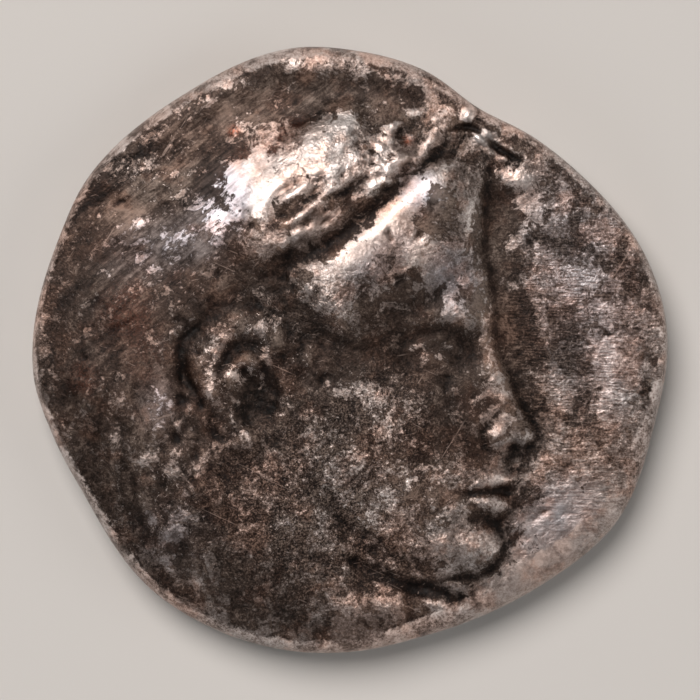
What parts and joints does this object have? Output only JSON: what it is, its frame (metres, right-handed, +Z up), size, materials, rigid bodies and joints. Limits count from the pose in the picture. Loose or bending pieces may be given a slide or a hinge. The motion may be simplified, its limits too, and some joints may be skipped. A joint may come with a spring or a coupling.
{
  "type": "drachm coin",
  "caption": "Heavily worn struck silver drachm with an irregular round flan: a head in a lion's skin on its face, a seated figure on its back.",
  "frame": {"origin": "middle of the coin's bounds, on the plane that its back lies on", "axes": "+Z up out of the portrait side, the coin's thickness; +X across the portrait, towards the side that it faces; +Y to the portrait's top"},
  "size_m": [0.0176, 0.0166, 0.0027],
  "materials": {
    "worn_silver": "toned silver: brown film in the hollows, bright and brushed on the worn high places"
  },
  "bodies": {
    "root": {"coin": "worn_silver"}
  },
  "joints": []
}
